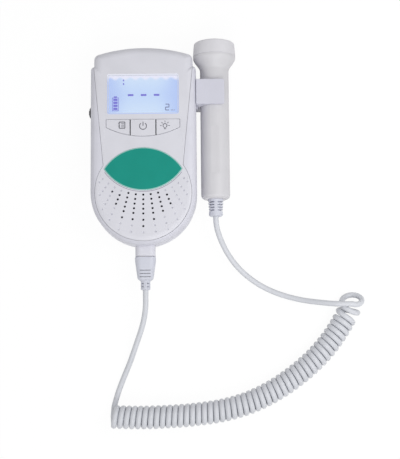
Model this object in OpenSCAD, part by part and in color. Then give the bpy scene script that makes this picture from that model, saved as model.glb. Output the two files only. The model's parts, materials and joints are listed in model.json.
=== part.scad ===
// Handheld fetal doppler monitor: a housing with a display, three keys and a loudspeaker, and a probe
// that sits in a clip on its right side, on a curly cord with a plug at the lower end.
// The unit lies on its back. X points to the probe, Y to the top end and Z out of the front face.

/* [Housing] */
// Length of the housing from its arched top edge to its round lower end
body_l = 134; // [126:1:144]
// Width across the two side wings
body_w = 70.8; // [69:0.2:76]
// Thickness from the rest face to the front face
body_h = 31; // [30.5:0.5:36]
// Thickness of the housing walls
wall = 2; // [1.6:0.1:2.2]
// Radius of the edge round the front face
front_r = 6; // [4:0.5:7]
// Radius of the edge round the back
rear_r = 7; // [5:0.5:8]
// How far each wing stands out past the narrower top end
crown_step = 2.2; // [1:0.1:3]
// Length of the top end above the wings
crown_l = 13; // [11:0.5:15]
// Radius of the arched top edge
crown_r = 103; // [80:1:140]
// Radius of the two corners of the top end, seen from the front
crown_corner = 4; // [3:0.5:5]
// Radius of the wings' shoulders, seen from the front
shoulder_r = 2.5; // [2:0.5:4]
// Height of the parting line round the top end
split_z = 17; // [15:0.5:18]
// Width of the seam between the front cover and the wings
seam = 0.2; // [0.1:0.05:0.3]

/* [Front cover] */
// Width of each wing at the shoulders, seen from the front
wing_w = 2.3; // [2.2:0.1:4]
// Width of the centre panel where it meets the speaker panel
panel_low_w = 52.4; // [50:0.2:55]
// Width of the wings beside the round speaker panel
wing_low_w = 3.4; // [3:0.1:5]
// Width of the display window
window_w = 47.8; // [44:0.2:49]
// Height of the display window
window_h = 27.5; // [25:0.5:28]
// Height of the window's middle above the middle of the housing
window_y = 34; // [33.5:0.5:35]
// Width of the strip of three keys
key_strip_w = 48.8; // [44:0.2:50]
// Height of the key strip's top edge above the middle of the housing
key_top_y = 16.5; // [15.5:0.5:16.5]
// Length of the key strip's short upright sides
key_side_h = 5.2; // [4:0.2:7]
// Length of the key strip at its middle
key_mid_h = 11.2; // [10:0.2:12]
// Width of the power key in the middle
power_key_w = 16.4; // [13:0.2:18]
// Gap between neighbouring keys
key_gap = 0.7; // [0.4:0.05:0.8]
// How far a key stands proud of the front face
key_proud = 0.4; // [0.2:0.05:0.6]
// How far a key goes down
key_travel = 0.6; // [0.3:0.05:0.8]
// Width of the eye-shaped name plate
plate_w = 52; // [46:0.5:53]
// Height of the name plate
plate_h = 28.6; // [24:0.2:30]
// Thickness of the name plate
plate_t = 1.2; // [1:0.1:1.4]

/* [Loudspeaker] */
// Diameter of the loudspeaker
speaker_d = 40; // [36:0.5:40]
// Space between the loudspeaker's magnet and the battery bay
speaker_space = 1.05; // [0.8:0.05:2]
// Diameter of the sound holes
sound_hole_d = 1.5; // [1.2:0.1:1.8]
// Diameter of the blind dimples that carry on the pattern of holes
dimple_d = 1.2; // [0.9:0.1:1.5]
// Depth of the dimples
dimple_depth = 0.6; // [0.2:0.05:0.8]
// Angle between the rays of holes
ray_angle = 7.3; // [6.5:0.1:8]

/* [Power] */
// Diameter of a battery cell
cell_d = 14.5; // [13.5:0.1:14.5]
// Length of a battery cell, its contact cap included
cell_l = 50.5; // [49:0.5:50.5]
// Length of a contact spring when the cell is in
spring_l = 4.5; // [3.5:0.1:5]
// Wire diameter of the contact springs
spring_wire = 0.8; // [0.6:0.1:1]
// Thickness of the battery door
door_t = 1.7; // [1.4:0.1:1.7]

/* [Sockets and wheel] */
// Diameter of the volume wheel
wheel_d = 14; // [12:0.5:14]
// Thickness of the volume wheel
wheel_t = 2.6; // [2:0.1:3]
// How far the volume wheel stands out of the side
wheel_proud = 2.1; // [1:0.1:2.4]
// Height of the wheel's middle above the middle of the housing
wheel_y = 24.4; // [20:0.2:28]
// Diameter of the earphone plug's pin that the jack takes
jack_pin_d = 3.5; // [3.5:0.1:3.5]
// Depth of the earphone jack
jack_depth = 11; // [10:0.5:12]
// Width of the probe socket's collar
socket_w = 13.4; // [12:0.2:14]
// Height of the probe socket's collar
socket_h = 11; // [10:0.2:11.4]
// How far the collar stands out of the lower end
socket_out = 6.6; // [5:0.1:7.5]
// Height of the socket's middle above the rest face
socket_z = 14.5; // [13.5:0.1:15]

/* [Probe] */
// Diameter of the probe's handle
handle_d = 19.5; // [18:0.1:20]
// Diameter of the probe's head
head_d = 29; // [27:0.2:29]
// Length of the probe from its face to the end of its handle
probe_l = 108.4; // [100:0.2:112]
// Height of the probe's axis above the rest face
probe_z = 15.5; // [15:0.1:16.5]
// Thickness of the probe's wall
probe_wall = 1.75; // [1.4:0.05:2]
// Length of the head's band beyond its seam
band_l = 10.2; // [9:0.1:11]
// Length of the strain relief at the end of the probe
relief_l = 11.4; // [10:0.2:13]
// Width of the shallow oval recess in the handle
recess_w = 7.4; // [6:0.1:8.5]
// Length of the oval recess
recess_l = 33; // [28:0.5:38]

/* [Clip] */
// Length of the clip along the probe
clip_l = 17.1; // [14:0.1:18]
// Reach of the clip's arms past the probe's axis
clip_reach = 6.4; // [5:0.1:8]
// Thickness of the clip's arms
clip_t = 2.4; // [2:0.1:2.6]
// Play between the probe and its clip
clip_play = 0.3; // [0.25:0.05:0.4]
// Thickness of the rail that the clip is pushed on
rail_t = 1.3; // [1.1:0.05:1.4]

/* [Cord] */
// Diameter of the cord
cord_d = 3.4; // [3:0.1:3.4]
// Outer diameter of the curly stretch
coil_d = 15.3; // [14.9:0.1:15.7]
// Number of curls
curls = 44; // [30:1:45]

/* [Hidden] */

eps = 0.01;
fit = 0.1;
half_w = body_w / 2;
top_y = body_l / 2;
low_y = -body_l / 2;
bowl_y = low_y + half_w;
shoulder_y = top_y - crown_l;
crown_w = body_w - 2 * crown_step;
panel_top_w = body_w - 2 * wing_w;
speaker_panel_r = half_w - wing_low_w;
crown_y = top_y - crown_r;
inner_z = body_h - wall;
body_white = [0.87, 0.87, 0.89];
wing_white = [0.80, 0.80, 0.86];
probe_white = [0.84, 0.84, 0.85];
clip_white = [0.81, 0.81, 0.86];
cord_white = [0.84, 0.86, 0.88];
plug_lilac = [0.78, 0.79, 0.85];
board_green = [0.10, 0.36, 0.22];
dark = [0.12, 0.12, 0.13];
metal = [0.75, 0.75, 0.77];

// Steps in the arcs that round the housing's edges, outside and inside, and its outline
edge_steps = 6;
inside_steps = 4;
bowl_steps = 36;
crown_steps = 12;
corner_steps = 5;

// Front panel seams and the ledge under them
ledge_t = 1.3;
speaker_panel_y = bowl_y - 0.9;
panel_low_y = -16;
hole_y = 4.75;
first_ring_r = 38.8;
near_pitch = 3.13;
far_pitch = 4.2;
near_rings = 5;
far_rings = 4;
rays = 6;
speaker_y = speaker_panel_y - 0.2;
sound_x = -0.5;
sound_y = speaker_y - 2.2;
sound_r = speaker_d / 2 + 0.2;

// Battery bay
cell_gap = 0.4;
cell_z = wall + cell_gap + cell_d / 2;
cell_x = cell_d / 2 + 0.35;
bay_x = 2 * cell_x + 0.2;
bay_wall = 2;
bay_roof = 1.2;
bay_top = cell_z + cell_d / 2 + cell_gap;
plate_metal_t = 0.4;
bay_y0 = low_y + 9.5;
bay_y1 = bay_y0 + 2 * plate_metal_t + spring_l + cell_l;
shelf_t = 1.5;
door_z = wall - door_t;
door_gap = 0.2;
tongue_t = 0.8;
tongue_l = 0.9;

// Main board, which hangs from the front cover above the battery bay
board_t = 1.6;
board_z = bay_top + bay_roof + 0.8;
board_top = board_z + board_t;
board_w = body_w - 5;
board_y0 = -9;
board_y1 = shoulder_y - 4;
board_boss_r = 1.9;

// Display
window_t = 0.9;
window_sink = 0.1;
window_lip = 0.9;
window_corner = 1.4;
lcd_w = window_w + 1.4;
lcd_h = window_h + 1.5;
lcd_t = 2.2;
lcd_z = inner_z - 0.3 - lcd_t;
light_t = 0.43 * (lcd_z - board_top);
light_z = lcd_z - 0.1 - light_t;
frame_w = window_w + 4.2;
frame_h = window_h + 5;
board_screw_x = [frame_w / 2 + 0.3 + board_boss_r, 20];
board_screw_y = [board_y1 - 4, board_y0 + 4];

// Name plate
plate_y = -16.8;
plate_sink = 0.8;
groove_gap = 0.7;
groove_w = 0.3;
groove_depth = 0.3;
plate_r = (pow(plate_w / 2, 2) + pow(plate_h / 2, 2)) / plate_h;

// Keys and the switches below them
key_low_r = (pow(key_strip_w / 2, 2) + pow(key_mid_h - key_side_h, 2))
    / (2 * (key_mid_h - key_side_h));
key_clear = 0.25;
key_flange = 0.8;
key_flange_t = 1;
key_flange_z = inner_z - 0.1 - key_flange_t;
switch_w = 6;
switch_h = 1.9;
switch_top = board_top + switch_h;
switch_y = key_top_y - key_side_h - 0.3;
side_key_x = (power_key_w + key_strip_w) / 4 + key_gap / 4;
plunger_r = 1.6;
plunger_z = switch_top - 0.6;
stem_z = switch_top + 0.9;
stem_r = 2.2;

// Loudspeaker
cloth_t = 0.4;
basket_top = inner_z - 0.05 - cloth_t;
basket_lip = 1.6;
speaker_h = basket_top - bay_top - bay_roof - speaker_space;
magnet_r = speaker_d / 4;
magnet_h = speaker_h / 3;
rib_t = 1.2;

// Screws
case_screw_x = [crown_w / 2 - 7, 25.2];
case_screw_y = [top_y - 10, bowl_y - 9];
screw_r = 1.3;
screw_head_r = 2.4;
screw_seat = 6;
boss_r = 3;

// Volume wheel and earphone jack
wheel_x = -half_w - wheel_proud + wheel_d / 2;
pot_t = 1.4;
pot_r = 2.5;
wheel_z = board_z - pot_t - 0.1 - wheel_t;
pin_r = 1;
pin_play = 0.05;
slot_half = sqrt(pow(wheel_d / 2, 2) - pow(wheel_d / 2 - wheel_proud - wall, 2)) + 0.6;
jack_y = 6;
jack_w = 6.6;
jack_z = board_z - jack_w / 2;
jack_bore_r = jack_pin_d / 2 + 0.05;
jack_out = 0.4;

// Probe socket and plug
socket_x = 0.5;
socket_corner = 4;
socket_y0 = low_y - socket_out;
socket_y1 = low_y + 7.6;
tongue_w = 9.2;
tongue_h = 5.8;
tongue_play = 0.2;
socket_deep = 12;
pin_x = 2.4;
pin_z = 1.2;
contact_r = 0.45;
plug_y0 = socket_y0 - 0.3;
plug_len = 15.7;
boot_len = 6.4;
plug_boot_r = 3.2;
lead_bore_r = cord_d / 2 + 0.25;
lead_in = 2.6;
lead_play = 9.6;
plug_end = plug_y0 - plug_len;
boot_end = plug_end - boot_len;

// Probe, whose axis runs along Y
probe_x = half_w + 12.6;
face_y = 72.8;
handle_end = face_y - probe_l;
handle_r = handle_d / 2;
head_r = head_d / 2;
seam_y = face_y - band_l;
neck_l = 9.5;
face_r = head_r - 1.7;
face_t = 1.6;
crystal_t = 1.4;
backing_t = 7.5;
relief_r = 5.1;
relief_tip_r = 4.7;
relief_end = handle_end - relief_l;
recess_y = -2.8;
recess_deep = 0.35;

// Clip and its rail
clip_y0 = 27.7;
clip_y1 = clip_y0 + clip_l;
clip_x1 = probe_x + clip_reach;
arm_in = handle_r + clip_play;
clip_web_x = probe_x - 3.5;
rail_y0 = clip_y0 - 1.8;
rail_y1 = clip_y1 - 2.2;
rail_z0 = 11;
rail_z1 = 20;
rail_screw_y = [rail_y0 + 5.6, rail_y1 - 3.5];

// Cord: hand-set points of the two straight leads and of the middle of the curly stretch
cord_z = 1.9;
ring_sides = 8;
curl_sides = 6;
curl_rings = 8;
curl_r = (coil_d - cord_d) / 2;
axis_z = curl_r + cord_z;
plug_lead_route = [
    [0.5, boot_end + lead_in, 14.5], [0.5, -100, 14.5], [0.5, -105.5, 14.4], [0, -111, 13.6],
    [-1.2, -117, 12], [-3, -123, 9.9], [-5.2, -129, 7.9], [-7.4, -135, 6], [-9.6, -141, 4.4],
    [-12, -147, 3.1], [-14.4, -152.6, 2.3], [-16.6, -158, cord_z], [-18.6, -163.4, cord_z],
    [-20.2, -168.6, cord_z], [-21.4, -173, cord_z]
];
coil_route = [
    [-22, -179.6], [-4, -180.2], [14, -179.8], [32, -178.6], [50, -176.2], [65, -172.4],
    [78, -167.2], [90, -160.6], [101.6, -152.6], [111.4, -144.4], [119.8, -135.8],
    [127, -126.6], [132.8, -117.6], [137.2, -109], [139.4, -101]
];
probe_lead_route = [
    [48, relief_end, 15.5], [48, -50, 15.5], [48.7, -55, 14.7], [50.4, -60.5, 12.9],
    [52.8, -66, 10.9], [55.8, -71.5, 8.8], [59.6, -77, 6.7], [64.2, -82.2, 4.8],
    [69.6, -87, 3.3], [75.4, -91.2, 2.3], [81.6, -94.8, cord_z], [88, -97.7, cord_z],
    [94.6, -100.1, 2.6], [101, -102, 4], [107, -103.4, 5.9], [112.6, -104.4, 8.3],
    [118, -105.2, 10.9], [123.2, -105.9, 13.1], [128, -106.3, 14.7]
];

// ---------------------------------------------------------------- lofts and outlines

// Solid between rings of points that run anticlockwise seen from above
module loft(rings) {
    n = len(rings[0]);
    last = len(rings) - 1;
    polyhedron(
        points = [for (ring = rings) each ring],
        faces = concat(
            [for (i = [1 : n - 2]) [0, i, i + 1]],
            [for (k = [0 : last - 1], i = [0 : n - 1])
                each [
                    [k * n + i, (k + 1) * n + i, (k + 1) * n + (i + 1) % n],
                    [k * n + i, (k + 1) * n + (i + 1) % n, k * n + (i + 1) % n]
                ]],
            [for (i = [1 : n - 2]) [last * n, last * n + i + 1, last * n + i]]
        ),
        convexity = 6
    );
}

// Points on an arc about a centre
function arc(centre, r, from, to, steps) =
    [for (i = [0 : steps]) let (a = from + (to - from) * i / steps)
        centre + r * [cos(a), sin(a)]];

// Outline of the wings and the round lower end, drawn in by inset
function wing_outline(inset) =
    let (r = max(shoulder_r, inset + 0.4), corner = [half_w - r, shoulder_y - r])
    concat(
        arc([0, bowl_y], half_w - inset, 180, 360, bowl_steps),
        arc(corner, r - inset, 0, 90, corner_steps),
        arc([-corner.x, corner.y], r - inset, 90, 180, corner_steps)
    );

// Outline of the top end between the wings, drawn in by inset
function crown_outline(inset) =
    let (
        r = max(crown_corner, inset + 0.4),
        cx = crown_w / 2 - r,
        cy = crown_y + sqrt(pow(crown_r - r, 2) - cx * cx),
        turn = atan2(cy - crown_y, cx),
        low = bowl_y + 40
    )
    concat(
        [[-crown_w / 2 + inset, low], [crown_w / 2 - inset, low]],
        arc([cx, cy], r - inset, 0, turn, corner_steps),
        [for (i = [1 : crown_steps - 1])
            let (a = turn + (180 - 2 * turn) * i / crown_steps)
            [0, crown_y] + (crown_r - inset) * [cos(a), sin(a)]],
        arc([-cx, cy], r - inset, 180 - turn, 180, corner_steps)
    );

// Pairs of inset and height up the side of the housing, for the skin at depth t
function side_profile(t) =
    let (rear = rear_r - t, front = front_r - t, steps = t > 0 ? inside_steps : edge_steps)
    concat(
        [for (i = [0 : steps]) let (a = 90 * i / steps)
            [t + rear * (1 - sin(a)), t + rear * (1 - cos(a))]],
        [for (i = [0 : steps]) let (a = 90 * i / steps)
            [t + front * (1 - cos(a)), body_h - t - front * (1 - sin(a))]]
    );

function raised(outline, z) = [for (p = outline) [p.x, p.y, z]];

module housing_solid(t) {
    loft([for (s = side_profile(t)) raised(wing_outline(s.x), s.y)]);
    loft([for (s = side_profile(t)) raised(crown_outline(s.x), s.y)]);
}

module housing_skin() {
    difference() {
        housing_solid(0);
        housing_solid(wall);
    }
}

// The front cover seen from the front, grown by g
module panel_outline(g) {
    translate([0, speaker_panel_y]) circle(r = speaker_panel_r + g, $fn = 96);
    polygon([
        [-panel_low_w / 2 - g, panel_low_y], [panel_low_w / 2 + g, panel_low_y],
        [panel_top_w / 2 + g, shoulder_y], [-panel_top_w / 2 - g, shoulder_y]
    ]);
}

module panel_prism(g, z0, z1) {
    translate([0, 0, z0]) linear_extrude(z1 - z0) panel_outline(g);
    translate([-half_w, shoulder_y - eps, z0]) cube([body_w, crown_l + 1, z1 - z0]);
}

// Rectangle with round corners, centred on the origin
module rounded_rect(w, h, r) {
    square([w, h - 2 * r], center = true);
    square([w - 2 * r, h], center = true);
    for (x = [-1, 1], y = [-1, 1])
        translate([x * (w / 2 - r), y * (h / 2 - r)]) circle(r = r, $fn = 32);
}

module rounded_block(w, h, r, t) {
    linear_extrude(t) rounded_rect(w, h, r);
}

// Places what it holds with its Z axis along -Y, at a height above the rest face
module facing_down(x, y, z) {
    translate([x, y, z]) rotate([90, 0, 0]) children();
}

// Places what it holds with its Z axis along +Y, on the probe's axis
module on_probe(y) {
    translate([probe_x, y, probe_z]) rotate([-90, 0, 0]) children();
}

module at_case_screws(z) {
    for (i = [0, 1], side = [-1, 1])
        translate([side * case_screw_x[i], case_screw_y[i], z]) children();
}

module at_board_screws(z) {
    for (i = [0, 1], side = [-1, 1])
        translate([side * board_screw_x[i], board_screw_y[i], z]) children();
}

// ---------------------------------------------------------------- housing

// Where the wings have a ledge that carries the rim of the front cover
module ledge_zone() {
    translate([0, 0, inner_z - 4]) linear_extrude(body_h)
        difference() {
            panel_outline(1.6);
            panel_outline(-1.2);
            translate([-half_w, shoulder_y - 3]) square([body_w, crown_l]);
        }
}

// Skin of the wings, the lower end and the back, with the ledge inside it
module shell_skin() {
    difference() {
        housing_solid(0);
        difference() {
            housing_solid(wall);
            ledge_zone();
        }
        housing_solid(wall + ledge_t);
        difference() {
            panel_prism(seam, split_z, body_h + 1);
            housing_solid(wall + fit);
        }
    }
}

module battery_bay() {
    outer_x = bay_x + bay_wall;
    intersection() {
        union() {
            for (side = [-1, 1])
                translate([side > 0 ? bay_x : -outer_x, low_y, 0])
                    cube([bay_wall, bay_y1 + 1.5 - low_y, bay_top + bay_roof]);
            translate([-outer_x, bay_y0 - 1.5, bay_top])
                cube([2 * outer_x, bay_y1 - bay_y0 + 3, bay_roof]);
            translate([-outer_x, bay_y1, 0]) cube([2 * outer_x, 1.5, bay_top + bay_roof]);
            translate([-outer_x, bay_y0 - 1.5, wall + 0.3])
                cube([2 * outer_x, 1.5, bay_top + bay_roof - wall - 0.3]);
            translate([-outer_x, low_y, wall + 0.3]) cube([2 * outer_x, bay_y0 - 1 - low_y, shelf_t]);
            translate([socket_x - 5.5, bay_y0 - 10, wall + 0.3])
                cube([11, 6, socket_z - socket_h / 2 - wall - 0.3]);
        }
        housing_solid(wall / 2);
    }
}

module rear_shell() color(wing_white) {
    difference() {
        union() {
            shell_skin();
            battery_bay();
            at_case_screws(wall / 2) cylinder(r = boss_r, h = split_z - wall / 2, $fn = 32);
        }
        // battery door, its side grooves and the slot for its top tongue
        translate([-bay_x, low_y - 1, -1]) cube([2 * bay_x, bay_y1 - low_y + 1, wall + 1.3]);
        translate([-bay_x - tongue_l - 0.2, low_y - 1, door_z + 0.6])
            cube([2 * (bay_x + tongue_l + 0.2), bay_y1 - low_y + 1, tongue_t + 0.3]);
        translate([-bay_x + 2, bay_y1 - 1, door_z + 0.6]) cube([2 * bay_x - 4, 2.3, tongue_t + 0.3]);
        at_case_screws(-1) cylinder(r = screw_head_r + 0.2, h = screw_seat + 1, $fn = 32);
        at_case_screws(-1) cylinder(r = screw_r + 0.1, h = split_z + 2, $fn = 32);
        // slot for the volume wheel
        translate([-half_w - 1, wheel_y - slot_half, wheel_z - 0.4])
            cube([wall + 1.5, 2 * slot_half, wheel_t + 0.8]);
        // holes for the earphone jack's collar and for the probe socket
        translate([-half_w - 1, jack_y, jack_z]) rotate([0, 90, 0]) cylinder(d = 5.8, h = 5, $fn = 48);
        facing_down(socket_x, low_y + 4, socket_z)
            rounded_block(socket_w + 0.1, socket_h + 0.1, socket_corner, 8);
        for (y = rail_screw_y)
            translate([half_w - wall - 1, y, (rail_z0 + rail_z1) / 2])
                rotate([0, 90, 0]) cylinder(r = 1.1, h = wall + 2, $fn = 24);
    }
}

module key_strip(g) {
    low = key_top_y - key_mid_h;
    intersection() {
        translate([-key_strip_w / 2 - g, low - g - 1])
            square([key_strip_w + 2 * g, key_mid_h + 2 * g + 1]);
        translate([0, low + key_low_r]) circle(r = key_low_r + g, $fn = 180);
    }
}

module name_plate_outline(g) {
    rise = plate_r - plate_h / 2;
    intersection() {
        translate([0, plate_y + rise]) circle(r = plate_r + g, $fn = 120);
        translate([0, plate_y - rise]) circle(r = plate_r + g, $fn = 120);
    }
}

function ring_r(i) = i < near_rings
    ? first_ring_r + near_pitch * i
    : first_ring_r + near_pitch * (near_rings - 1) + far_pitch * (i - near_rings + 1);

function hole_at(i, k) = [0, hole_y] + ring_r(i) * [sin(k * ray_angle), -cos(k * ray_angle)];

function in_panel(p) =
    norm(p - [0, speaker_panel_y]) < speaker_panel_r - 1.4
    && norm(p - [0, plate_y + plate_r - plate_h / 2]) > plate_r + 1.6;

function is_sound_hole(i, k) =
    norm(hole_at(i, k) - [sound_x, sound_y]) < sound_r && !(i == 0 && abs(k) > 2);

module sound_pattern() {
    rings = near_rings + far_rings;
    for (i = [0 : rings - 1], k = [-rays : rays])
        if (in_panel(hole_at(i, k)))
            translate(hole_at(i, k))
                if (is_sound_hole(i, k))
                    translate([0, 0, inner_z - 1]) cylinder(d = sound_hole_d, h = wall + 2, $fn = 24);
                else
                    translate([0, 0, body_h - dimple_depth])
                        cylinder(d = dimple_d, h = dimple_depth + 2, $fn = 16);
}

module front_cover() color(body_white) {
    difference() {
        union() {
            intersection() {
                housing_skin();
                panel_prism(0, split_z, body_h + 1);
            }
            at_case_screws(split_z) cylinder(r = boss_r, h = inner_z + 0.4 - split_z, $fn = 32);
            at_board_screws(board_top)
                cylinder(r = board_boss_r, h = inner_z + 0.4 - board_top, $fn = 32);
            translate([0, speaker_y, basket_top - basket_lip])
                difference() {
                    cylinder(r = speaker_d / 2 + 0.2 + rib_t, h = wall + basket_lip, $fn = 96);
                    translate([0, 0, -1])
                        cylinder(r = speaker_d / 2 + 0.2, h = inner_z - basket_top + basket_lip + 1,
                            $fn = 96);
                    translate([0, 0, inner_z + 0.5 - basket_top + basket_lip])
                        cylinder(r = speaker_d, h = wall + 2, $fn = 96);
                }
        }
        at_case_screws(split_z - 1) cylinder(r = screw_r + 0.05, h = 11, $fn = 24);
        at_board_screws(board_top - 1) cylinder(r = 1, h = 7, $fn = 24);
        // display window: a rebate from outside and the opening through it
        translate([0, window_y, body_h - window_t - window_sink])
            rounded_block(window_w, window_h, window_corner, 3);
        translate([0, window_y, inner_z - 1])
            rounded_block(window_w - 2 * window_lip, window_h - 2 * window_lip, 0.8, wall + 2);
        translate([0, 0, inner_z - 1]) linear_extrude(wall + 2) key_strip(key_clear);
        translate([0, 0, body_h - plate_sink]) linear_extrude(3) name_plate_outline(fit);
        // fine groove along the lower arc of the name plate
        translate([0, 0, body_h - groove_depth]) linear_extrude(1)
            difference() {
                name_plate_outline(groove_gap + groove_w);
                name_plate_outline(groove_gap);
                translate([-half_w, plate_y]) square([body_w, plate_h]);
            }
        sound_pattern();
    }
}

module battery_door() color(wing_white) {
    difference() {
        intersection() {
            union() {
                translate([-bay_x + door_gap, low_y, door_z])
                    cube([2 * (bay_x - door_gap), bay_y1 - door_gap - low_y, door_t]);
                translate([-bay_x - tongue_l + 0.1, low_y, door_z + 0.75])
                    cube([2 * (bay_x + tongue_l - 0.1), bay_y1 - 2 - low_y, tongue_t]);
                translate([-bay_x + 2.4, bay_y1 - 2, door_z + 0.75])
                    cube([2 * bay_x - 4.8, 3, tongue_t]);
            }
            housing_solid(0);
        }
        for (i = [0 : 4])
            translate([-9, low_y + 16 + 2.4 * i, door_z - 1]) cube([18, 1.1, 1.5]);
    }
}

// ---------------------------------------------------------------- display

module lcd_window() color([0.75, 0.86, 0.96, 0.5]) {
    translate([0, window_y, body_h - window_t - window_sink])
        rounded_block(window_w - 2 * fit, window_h - 2 * fit, window_corner, window_t);
}

module lcd_panel() color([0.62, 0.74, 0.93]) {
    translate([-lcd_w / 2, window_y - lcd_h / 2, lcd_z]) cube([lcd_w, lcd_h, lcd_t]);
    translate([-lcd_w / 2 + 3, window_y - lcd_h / 2 - 1, lcd_z]) cube([lcd_w - 6, 1, lcd_t / 2]);
}

module backlight() color([0.93, 0.96, 1]) {
    translate([-lcd_w / 2, window_y - lcd_h / 2 + 1, light_z]) cube([lcd_w, lcd_h - 2, light_t]);
}

module lcd_frame() color([0.9, 0.9, 0.9]) {
    difference() {
        translate([-frame_w / 2, window_y - frame_h / 2, board_top])
            cube([frame_w, frame_h, lcd_z + lcd_t - board_top - 0.2]);
        translate([-lcd_w / 2 - 0.2, window_y - lcd_h / 2 - 0.2, light_z - 0.1])
            cube([lcd_w + 0.4, lcd_h + 0.4, 20]);
        translate([-lcd_w / 2 + 2.8, window_y - lcd_h / 2 - 1.2, light_z - 0.1])
            cube([lcd_w - 5.6, 3, 20]);
        translate([-frame_w / 2 + 3, window_y - frame_h / 2 + 3, board_top - 1])
            cube([frame_w - 6, frame_h - 6, light_z - board_top - 0.2]);
    }
}

module name_plate() color([0.08, 0.57, 0.49]) {
    translate([0, 0, body_h - plate_sink]) linear_extrude(plate_t) name_plate_outline(0);
}

// ---------------------------------------------------------------- keys

module key_cap(x0, x1) {
    intersection() {
        union() {
            translate([0, 0, key_flange_z]) linear_extrude(body_h + key_proud - key_flange_z) key_strip(0);
            translate([0, 0, key_flange_z]) linear_extrude(key_flange_t) key_strip(key_flange);
        }
        translate([x0, key_top_y - key_mid_h - 5, key_flange_z - 1])
            cube([x1 - x0, key_mid_h + 10, body_h]);
    }
    translate([(x0 + x1) / 2, switch_y, stem_z])
        cylinder(r = stem_r, h = key_flange_z + 0.2 - stem_z, $fn = 32);
}

module key_mode() color(body_white) {
    key_cap(-key_strip_w / 2, -power_key_w / 2 - key_gap);
}

module key_power() color(body_white) {
    key_cap(-power_key_w / 2, power_key_w / 2);
}

module key_light() color(body_white) {
    key_cap(power_key_w / 2 + key_gap, key_strip_w / 2);
}

module plunger(x) {
    translate([x, switch_y, plunger_z]) cylinder(r = plunger_r, h = stem_z - plunger_z, $fn = 32);
}

module plunger_mode() color(dark) plunger(-side_key_x);
module plunger_power() color(dark) plunger(0);
module plunger_light() color(dark) plunger(side_key_x);

module tact_switches() color(metal) {
    for (x = [-side_key_x, 0, side_key_x])
        difference() {
            translate([x - switch_w / 2, switch_y - switch_w / 2, board_top])
                cube([switch_w, switch_w, switch_h]);
            translate([x, switch_y, plunger_z - key_travel - 0.3])
                cylinder(r = plunger_r + 0.15, h = switch_h, $fn = 32);
        }
}

// ---------------------------------------------------------------- electronics

module main_board() color(board_green) {
    difference() {
        translate([-board_w / 2, board_y0, board_z]) cube([board_w, board_y1 - board_y0, board_t]);
        at_board_screws(board_z - 1) cylinder(r = 1.1, h = board_t + 2, $fn = 24);
    }
}

module processor_chip() color(dark) {
    translate([6, board_y0 + 1.4, board_top]) cube([10, 10, 1.4]);
}

module board_parts() color([0.30, 0.26, 0.20]) {
    for (x = [-10, -4.5])
        translate([x, board_y0 + 4.4, board_top])
            cylinder(r = 2, h = inner_z - board_top - 2.9, $fn = 32);
    for (i = [0 : 3])
        translate([-3 + 2.2 * i, board_y0 + 9, board_top]) cube([1.2, 2, 0.8]);
    translate([-29.5, board_y0 + 2, board_top]) cube([6, 4, 4]);
    translate([24, board_y0 + 2, board_top]) cube([5, 8, 3]);
    for (i = [0 : 2])
        translate([-15.2, board_y0 + 1.6 + 3 * i, board_top]) cube([2, 1.2, 0.8]);
}

module speaker_basket() color(metal) {
    k = speaker_h / 9;
    translate([0, speaker_y, 0])
        rotate_extrude($fn = 96)
            polygon([
                [speaker_d / 2 - 1.6, basket_top], [speaker_d / 2, basket_top],
                [speaker_d / 2, basket_top - 1.2 * k], [speaker_d / 2 - 2, basket_top - 1.6 * k],
                [speaker_d / 2 - 3, basket_top - 4 * k], [magnet_r + 1, basket_top - speaker_h + magnet_h],
                [magnet_r - 3, basket_top - speaker_h + magnet_h],
                [magnet_r - 3, basket_top - speaker_h + magnet_h + 0.8 * k],
                [magnet_r + 0.6, basket_top - speaker_h + magnet_h + 0.8 * k],
                [speaker_d / 2 - 4, basket_top - 3.6 * k], [speaker_d / 2 - 2.8, basket_top - 0.9 * k],
                [speaker_d / 2 - 1.6, basket_top - 0.6 * k]
            ]);
}

module speaker_cone() color(dark) {
    rim = speaker_d / 2;
    profile = [
        [0, 2.2], [3, 2.6], [5.6, 3.8], [rim - 4.6, 1], [rim - 3.1, 0.4], [rim - 2, 0.3],
        [rim - 1.8, 0.1], [rim - 1.9, 0], [rim - 3.1, 0], [rim - 4.8, 0.6], [5.6, 3.4], [3, 2.2],
        [0, 1.8]
    ];
    translate([0, speaker_y, basket_top])
        rotate_extrude($fn = 96)
            polygon([for (p = profile) [p.x, -p.y * speaker_h / 9]]);
}

module speaker_magnet() color([0.45, 0.45, 0.47]) {
    translate([0, speaker_y, basket_top - speaker_h])
        cylinder(r = magnet_r, h = magnet_h, $fn = 64);
    translate([0, speaker_y, basket_top - speaker_h + magnet_h])
        cylinder(r = magnet_r - 3.2, h = 0.4 * magnet_h, $fn = 48);
}

module speaker_cloth() color([0.06, 0.06, 0.07]) {
    translate([0, speaker_y, basket_top]) cylinder(d = speaker_d, h = cloth_t, $fn = 96);
}

module volume_wheel() color(dark) {
    difference() {
        translate([wheel_x, wheel_y, wheel_z]) cylinder(d = wheel_d, h = wheel_t, $fn = 72);
        for (i = [0 : 23])
            translate([wheel_x, wheel_y, wheel_z - 1]) rotate(15 * i)
                translate([wheel_d / 2 + 0.35, 0]) cylinder(r = 0.6, h = wheel_t + 2, $fn = 12);
        translate([wheel_x, wheel_y, wheel_z - 1])
            cylinder(r = pin_r + pin_play, h = wheel_t + 2, $fn = 48);
    }
}

module volume_pot() color([0.55, 0.50, 0.42]) {
    translate([wheel_x, wheel_y, board_z - pot_t]) cylinder(r = pot_r, h = pot_t, $fn = 48);
    translate([wheel_x, wheel_y, wheel_z - 0.3])
        cylinder(r = pin_r, h = board_z - pot_t + eps - wheel_z + 0.3, $fn = 48);
    translate([wheel_x, wheel_y, wheel_z - 0.9]) cylinder(r = 1.8, h = 0.6 + eps, $fn = 32);
}

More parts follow.
